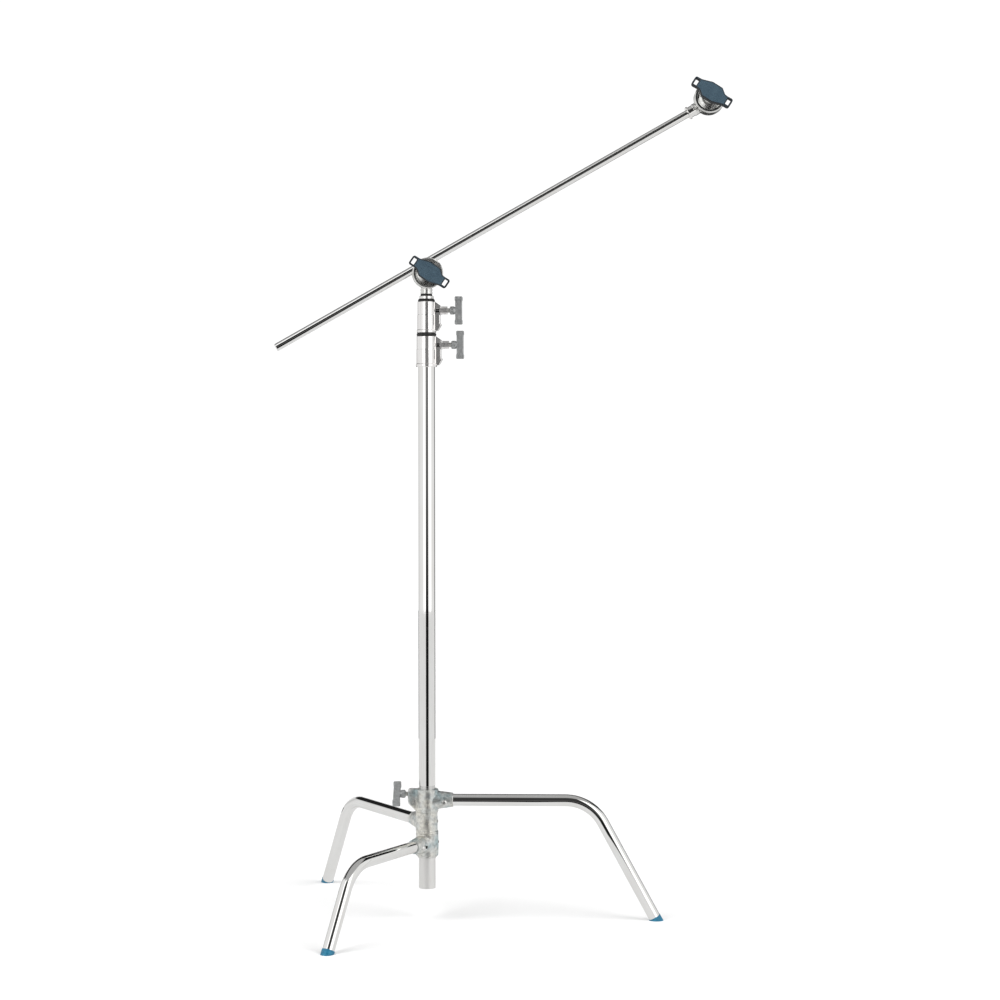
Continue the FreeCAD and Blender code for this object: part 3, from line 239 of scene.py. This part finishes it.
def stage_material(name, stops, glow):
    """The floor, or a sheet seen only in the chrome as a painted reflection: a mottled grey that may also
    glow a little.
    """
    material = bpy.data.materials.new(name)
    material.use_nodes = True
    tree = Tree(material.node_tree)
    where = tree.add("TexCoord").outputs["Object"]
    mottle = tree.add("TexNoise", {"Vector": where, "Scale": 3.0, "Detail": 4.0}).outputs[0]
    surface = material.node_tree.nodes["Principled BSDF"]
    tree.feed(surface.inputs["Base Color"], tree.ramp(mottle, stops))
    surface.inputs["Roughness"].default_value = 0.9
    surface.inputs["Specular IOR Level"].default_value = 0.0
    surface.inputs["Emission Color"].default_value = (1.0, 1.0, 1.0, 1.0)
    surface.inputs["Emission Strength"].default_value = glow
    return material


def make_floor():
    rim = list(sector_points(FLOOR_RADIUS, -180.0, 180.0, 96))[:-1]
    floor = mesh_object("floor", rim, [tuple(range(len(rim)))[::-1]], smooth=False)
    floor.data.materials.append(stage_material("floor", [(0.3, 0.90), (0.7, 0.93)], 0.12))
    floor.visible_glossy = False
    # Pale sheet that glows though it is no lamp, seen only in the chrome: a painted reflection of the
    # floor.
    pale = stage_material("painted_floor_reflection", [(0.3, 0.02), (0.7, 0.10)], 0.72)
    # Dark sheet seen only in the chrome: a painted dark reflection.
    dark = stage_material("painted_dark_reflection", [(0.3, 0.008), (0.7, 0.012)], 0.0)
    for number, (name, sector, near, far) in enumerate(PAINTED_REFLECTION_SHEETS):
        rim = list(sector_points(far, *sector, 32))
        if near:
            rim += list(sector_points(near, *sector, 32))[::-1]
        else:
            rim = rim[:-1]
        lift = Vector((0, 0, number * MM))
        reflection_sheet = mesh_object(name, [p + lift for p in rim], [tuple(range(len(rim)))], smooth=False)
        reflection_sheet.data.materials.append(dark if near else pale)
        # Only glossy rays see these sheets: they are painted reflections on the chrome.
        reflection_sheet.visible_camera = reflection_sheet.visible_diffuse = reflection_sheet.visible_shadow = False


# ---- materials --------------------------------------------------------------------------------


class Finish(Tree):
    """A Principled material whose patterns lie in the frame's own coordinates."""

    def __init__(self, name, **constants):
        self.material = bpy.data.materials.new(name)
        self.material.use_nodes = True
        super().__init__(self.material.node_tree)
        self.surface = self.tree.nodes["Principled BSDF"]
        self.where = self.add("TexCoord").outputs["Object"]
        for socket, value in constants.items():
            self.surface.inputs[socket.replace("_", " ")].default_value = value

    def noise(self, scale, detail=3.0, stretch=None):
        where = self.where
        if stretch:
            where = self.add("Mapping", {"Vector": where, "Scale": stretch}).outputs[0]
        return self.add(
            "TexNoise", {"Vector": where, "Scale": scale, "Detail": detail}
        ).outputs[0]

    def reach(self):
        """The distance from the column's axis, and the height."""
        x, y, z = self.add("SeparateXYZ", {0: self.where}).outputs
        squares = self.math("ADD", self.math("MULTIPLY", x, x), self.math("MULTIPLY", y, y))
        return self.math("SQRT", squares), z

    def colour(self, value):
        self.feed(self.surface.inputs["Base Color"], value)

    def roughness(self, value):
        self.feed(self.surface.inputs["Roughness"], value)

    def bump(self, height, distance, strength=1.0):
        node = self.add("Bump", {"Height": height, "Distance": distance, "Strength": strength})
        under = self.surface.inputs["Normal"]
        if under.is_linked:
            self.feed(node.inputs["Normal"], under.links[0].from_socket)
        self.feed(under, node.outputs[0])


# The base sleeve is satin: everything this near the axis and this low, in metres.
SLEEVE_REACH, SLEEVE_TOP = 0.022, 0.250


def chrome():
    """Bright plate on drawn tube: faint haze and smears, and a slight ripple along the tube."""
    finish = Finish("chrome", Metallic=1.0)
    haze = finish.noise(9.0, 5.0)
    finish.colour(finish.ramp(haze, [(0.35, (0.87, 0.86, 0.84)), (0.65, (0.91, 0.91, 0.90))]))
    smear = finish.noise(38.0, 6.0, stretch=(1.0, 1.0, 0.25))
    reach, height = finish.reach()
    near = finish.math("LESS_THAN", reach, SLEEVE_REACH)
    satin = finish.math("MULTIPLY", near, finish.math("LESS_THAN", height, SLEEVE_TOP))
    bright = finish.ramp(smear, [(0.35, 0.015), (0.6, 0.03), (0.78, 0.07)])
    finish.roughness(finish.mix(satin, bright, finish.ramp(smear, [(0.3, 0.56), (0.7, 0.66)])))
    finish.bump(finish.noise(60.0, 2.0), 0.00001)
    return finish.material


# The collars are polished as far out as their barrels; the bosses beyond that are satin.
BARREL_REACH = 0.0285


def collar_chrome():
    """Plate on polished castings: brighter and softer than on the tubes."""
    finish = Finish("collar_chrome", Metallic=1.0)
    haze = finish.noise(30.0, 4.0)
    finish.colour(finish.ramp(haze, [(0.3, (0.90, 0.88, 0.87)), (0.7, (0.95, 0.94, 0.93))]))
    grain = finish.noise(120.0, 4.0)
    outside = finish.math("GREATER_THAN", finish.reach()[0], BARREL_REACH)
    polished = finish.ramp(grain, [(0.3, 0.07), (0.7, 0.15)])
    finish.roughness(finish.mix(outside, polished, finish.ramp(grain, [(0.3, 0.28), (0.7, 0.38)])))
    finish.bump(finish.noise(140.0, 3.0), 0.00006)
    return finish.material


def casting():
    """Zinc-plated castings: satin grey with blue and yellow passivation tints and a fine grain."""
    finish = Finish("casting", Metallic=0.9)
    tint = finish.ramp(finish.noise(26.0, 3.0), [
        (0.36, (0.46, 0.58, 0.60)), (0.48, (0.74, 0.76, 0.74)), (0.62, (0.88, 0.86, 0.79)),
    ])
    stain = finish.ramp(finish.noise(160.0, 5.0), [(0.35, (0.66, 0.66, 0.66)), (0.6, (1.0, 1.0, 1.0))])
    finish.colour(finish.mix(1.0, tint, stain, "MULTIPLY"))
    finish.roughness(finish.ramp(finish.noise(90.0, 5.0), [(0.3, 0.28), (0.7, 0.44)]))
    finish.bump(finish.noise(420.0, 4.0), 0.00025)
    finish.bump(finish.noise(1500.0, 2.0), 0.00008)
    return finish.material


def spigot_steel():
    finish = Finish("spigot_steel", Metallic=1.0)
    rings = finish.noise(900.0, 2.0, stretch=(0.02, 0.02, 1.0))
    finish.colour(finish.ramp(finish.noise(50.0), [(0.3, (0.66, 0.65, 0.63)), (0.7, (0.76, 0.76, 0.75))]))
    finish.roughness(finish.ramp(rings, [(0.3, 0.18), (0.7, 0.32)]))
    finish.bump(rings, 0.00005)
    return finish.material


def foot_plastic():
    """Moulded caps: saturated teal-blue with scuffs."""
    finish = Finish("foot_plastic", Specular_IOR_Level=0.5)
    scuff = finish.noise(220.0, 6.0)
    finish.colour(finish.ramp(scuff, [
        (0.30, (0.010, 0.12, 0.21)), (0.60, (0.016, 0.18, 0.30)), (0.78, (0.06, 0.29, 0.42)),
    ]))
    finish.roughness(finish.ramp(scuff, [(0.3, 0.32), (0.7, 0.50)]))
    finish.bump(finish.noise(900.0, 3.0), 0.00008)
    return finish.material


def fastener_steel():
    finish = Finish("fastener_steel", Metallic=1.0)
    finish.colour(finish.ramp(finish.noise(180.0), [(0.3, (0.64, 0.64, 0.61)), (0.7, (0.80, 0.80, 0.78))]))
    finish.roughness(finish.ramp(finish.noise(500.0, 4.0), [(0.3, 0.24), (0.7, 0.40)]))
    finish.bump(finish.noise(900.0, 3.0), 0.00005)
    return finish.material


def black_rubber():
    finish = Finish("black_rubber", Specular_IOR_Level=0.4)
    finish.colour(finish.ramp(finish.noise(300.0, 5.0), [(0.3, (0.008,) * 3), (0.75, (0.028,) * 3)]))
    finish.roughness(finish.ramp(finish.noise(200.0), [(0.3, 0.42), (0.7, 0.62)]))
    finish.bump(finish.noise(1400.0, 3.0), 0.00008)
    return finish.material


def bush_nylon():
    finish = Finish("bush_nylon")
    finish.colour(finish.ramp(finish.noise(120.0), [(0.3, (0.06, 0.06, 0.06)), (0.7, (0.10, 0.10, 0.10))]))
    finish.roughness(finish.ramp(finish.noise(400.0), [(0.3, 0.40), (0.7, 0.55)]))
    finish.bump(finish.noise(900.0), 0.00005)
    return finish.material


def pad_brass():
    finish = Finish("pad_brass", Metallic=1.0)
    finish.colour(finish.ramp(finish.noise(200.0), [(0.3, (0.58, 0.42, 0.17)), (0.7, (0.76, 0.60, 0.30))]))
    finish.roughness(finish.ramp(finish.noise(600.0), [(0.3, 0.25), (0.7, 0.42)]))
    finish.bump(finish.noise(900.0), 0.00005)
    return finish.material


def handle_zinc():
    """Die-cast handles, tumbled to a matte grey, with paler worn spots."""
    finish = Finish("handle_zinc", Metallic=0.75)
    finish.colour(finish.ramp(finish.noise(210.0, 5.0), [
        (0.30, (0.34, 0.35, 0.35)), (0.55, (0.42, 0.43, 0.43)), (0.75, (0.52, 0.53, 0.53)),
    ]))
    finish.roughness(finish.ramp(finish.noise(330.0, 4.0), [(0.3, 0.42), (0.7, 0.60)]))
    finish.bump(finish.noise(1100.0, 4.0), 0.00016)
    finish.bump(finish.noise(260.0, 2.0), 0.00020)
    return finish.material


def head_alloy():
    """Tumbled and polished alloy of the grip heads: bright, with fine pits and brushed patches."""
    finish = Finish("head_alloy", Metallic=1.0)
    finish.colour(finish.ramp(finish.noise(70.0, 4.0), [
        (0.3, (0.70, 0.70, 0.68)), (0.7, (0.84, 0.84, 0.82)),
    ]))
    finish.roughness(finish.ramp(finish.noise(160.0, 5.0), [(0.3, 0.16), (0.7, 0.30)]))
    finish.bump(finish.noise(330.0, 4.0), 0.00004)
    finish.bump(finish.noise(1300.0, 2.0), 0.00002)
    return finish.material


def washer_fibre():
    finish = Finish("washer_fibre", Specular_IOR_Level=0.2)
    fibres = finish.noise(900.0, 5.0)
    finish.colour(finish.ramp(fibres, [(0.3, (0.07, 0.06, 0.05)), (0.7, (0.16, 0.14, 0.11))]))
    finish.roughness(finish.ramp(finish.noise(600.0), [(0.3, 0.75), (0.7, 0.9)]))
    finish.bump(finish.noise(1800.0), 0.0002)
    return finish.material


def knob_blue():
    """Moulded knob: slate blue on the faces, near black towards every edge."""
    finish = Finish("knob_blue", Specular_IOR_Level=0.45)
    rim = finish.add("Attribute", attribute_name="rim").outputs["Fac"]
    blue = finish.ramp(finish.noise(60.0, 3.0), [
        (0.30, (0.038, 0.072, 0.102)), (0.70, (0.050, 0.090, 0.122)),
    ])
    dark = finish.ramp(finish.noise(300.0, 4.0), [
        (0.3, (0.006, 0.009, 0.012)), (0.7, (0.013, 0.018, 0.023)),
    ])
    finish.colour(finish.mix(rim, blue, dark))
    finish.roughness(finish.ramp(finish.noise(160.0, 4.0), [(0.3, 0.44), (0.7, 0.54)]))
    finish.bump(finish.noise(1600.0, 3.0), 0.00005)
    return finish.material


FINISHES = [
    chrome, collar_chrome, casting, spigot_steel, foot_plastic, fastener_steel, black_rubber,
    bush_nylon, pad_brass, handle_zinc, head_alloy, washer_fibre, knob_blue,
]


def dress_nodes():
    """Give every CAD node the finish of its material slot."""
    finishes = {make.__name__: make() for make in FINISHES}
    for name, thing in NODES.items():
        thing.data.materials.clear()
        thing.data.materials.append(finishes[SLOT_OF[name]])
    return finishes


# ---- pieces -----------------------------------------------------------------------------------


def stand_for(piece, node):
    """A detailed piece takes a CAD node's place: its body and the finish of its slot."""
    piece.data.materials.clear()
    piece.data.materials.append(FINISH[SLOT_OF[node]])
    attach(piece, NODES[node]["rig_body"])
    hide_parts(node)


def remade(name, node, voxel, rounds):
    """A copy of a CAD node with an even mesh, its sharp edges worn and its inner corners filled."""
    piece = bpy.data.objects.new(name, NODES[node].data.copy())
    bpy.context.scene.collection.objects.link(piece)
    remesh = piece.modifiers.new("remesh", "REMESH")
    remesh.mode, remesh.voxel_size = "VOXEL", voxel
    soften = piece.modifiers.new("soften", "SMOOTH")
    soften.factor, soften.iterations = 0.5, rounds
    depsgraph = bpy.context.evaluated_depsgraph_get()
    mesh = bpy.data.meshes.new_from_object(piece.evaluated_get(depsgraph))
    piece.modifiers.clear()
    piece.data = mesh
    mesh.name = name
    mesh.shade_smooth()
    return piece


# How fine each kind of piece is remade, and how many rounds of smoothing wear its edges.
CASTING_VOXEL, CASTING_ROUNDS = 0.7 * MM, 7
HANDLE_VOXEL, HANDLE_ROUNDS = 0.45 * MM, 4
KNOB_VOXEL, KNOB_ROUNDS = 0.45 * MM, 3

# The castings' skin swells a little: broad waves, and finer ones of a share of their height.
WAVE_SCALE, WAVE_HEIGHT = 75.0, 0.35 * MM
FINER_SCALE, FINER_SHARE = 2.3 * WAVE_SCALE, 0.4


def make_castings():
    for leg in ("top", "middle", "low"):
        skin = remade(f"{leg}_casting_skin", f"{leg}_casting", CASTING_VOXEL, CASTING_ROUNDS)
        normals = [v.normal.copy() for v in skin.data.vertices]
        for v, normal in zip(skin.data.vertices, normals):
            swell = noise.noise(v.co * WAVE_SCALE) + FINER_SHARE * noise.noise(v.co * FINER_SCALE)
            v.co += normal * swell * WAVE_HEIGHT
        stand_for(skin, f"{leg}_casting")


LOCKS = ("base", "lower", "upper", "head")


def make_handles():
    for lock in LOCKS:
        skin = remade(f"{lock}_handle_skin", f"{lock}_lock_handle", HANDLE_VOXEL, HANDLE_ROUNDS)
        stand_for(skin, f"{lock}_lock_handle")


# The lock screws' thread, and how finely its mesh is divided.
THREAD_PITCH, THREAD_DEPTH = 1.5 * MM, 0.8 * MM
STEPS_ROUND, STEPS_PER_PITCH = 48, 8


def make_screw(lock):
    """A lock screw with a real thread: a helical ridge that dies away at both ends."""
    joint = JOINTS[f"{lock}_lock_turn"]
    axis, foot = Vector(joint["axis"]).normalized(), Vector(joint["pos_m"])
    side = axis.orthogonal().normalized()
    across = axis.cross(side)
    corners = [v.co - foot for v in NODES[f"{lock}_lock_screw"].data.vertices]
    low, high = min(axis.dot(c) for c in corners), max(axis.dot(c) for c in corners)
    radius = max((c - axis * axis.dot(c)).length for c in corners)
    rings = round((high - low) / THREAD_PITCH * STEPS_PER_PITCH)
    points = []
    for ring in range(rings + 1):
        along = low + (high - low) * ring / rings
        share = min(1.0, (along - low) / THREAD_PITCH, (high - along) / THREAD_PITCH)
        for step in range(STEPS_ROUND):
            phase = (along / THREAD_PITCH - step / STEPS_ROUND) % 1.0
            ridge = share * (1.0 - abs(2.0 * phase - 1.0))
            angle = math.tau * step / STEPS_ROUND
            spoke = side * math.cos(angle) + across * math.sin(angle)
            points.append(foot + axis * along + spoke * (radius - THREAD_DEPTH * (1.0 - ridge)))
    faces = [tuple(range(STEPS_ROUND))[::-1], tuple(range(rings * STEPS_ROUND, len(points)))]
    for ring in range(rings):
        for step in range(STEPS_ROUND):
            a, b = ring * STEPS_ROUND + step, ring * STEPS_ROUND + (step + 1) % STEPS_ROUND
            faces.append((a, b, b + STEPS_ROUND, a + STEPS_ROUND))
    stand_for(mesh_object(f"{lock}_threaded_screw", points, faces), f"{lock}_lock_screw")


RIM_WIDTH, RIM_BLEND = 2.8 * MM, 1.8 * MM
LIP_HEIGHT = 0.5 * MM
# The knob's face: points this near its highest, whose normals lie this near the axis.
FACE_DEPTH, FACE_SLANT = 4 * MM, 0.6


def make_knob(prefix, joint):
    """A knob with a raised dark lip round its dished blue face."""
    piece = remade(f"{prefix}_knob_skin", f"{prefix}_knob", KNOB_VOXEL, KNOB_ROUNDS)
    axis = Vector(JOINTS[joint]["axis"]).normalized()
    mesh = piece.data
    lift = [axis.dot(v.co) for v in mesh.vertices]
    facing = [axis.dot(v.normal) for v in mesh.vertices]
    top = max(lift)
    upper = [height > top - FACE_DEPTH for height in lift]
    edge = [v for v in mesh.vertices if facing[v.index] < FACE_SLANT and upper[v.index]]
    tree = kdtree.KDTree(len(edge))
    for i, v in enumerate(edge):
        tree.insert(v.co, i)
    tree.balance()
    rim = mesh.attributes.new("rim", "FLOAT", "POINT")
    moves = []
    for v in mesh.vertices:
        on_face = facing[v.index] > FACE_SLANT and upper[v.index]
        distance = tree.find(v.co)[2] if on_face else 0.0
        share = min(max((RIM_WIDTH - distance) / RIM_BLEND, 0.0), 1.0)
        rim.data[v.index].value = share
        if on_face:
            moves.append((v, (1.0 - share) * LIP_HEIGHT))
    for v, depth in moves:
        v.co -= axis * depth
    stand_for(piece, f"{prefix}_knob")


make_camera()
studio_world()
make_lights()
make_floor()
bpy.context.scene.view_settings.view_transform = "Standard"
FINISH = dress_nodes()
make_castings()
make_handles()
for lock in LOCKS:
    make_screw(lock)
make_knob("stand", "knob_turn")
make_knob("arm", "arm_knob_turn")
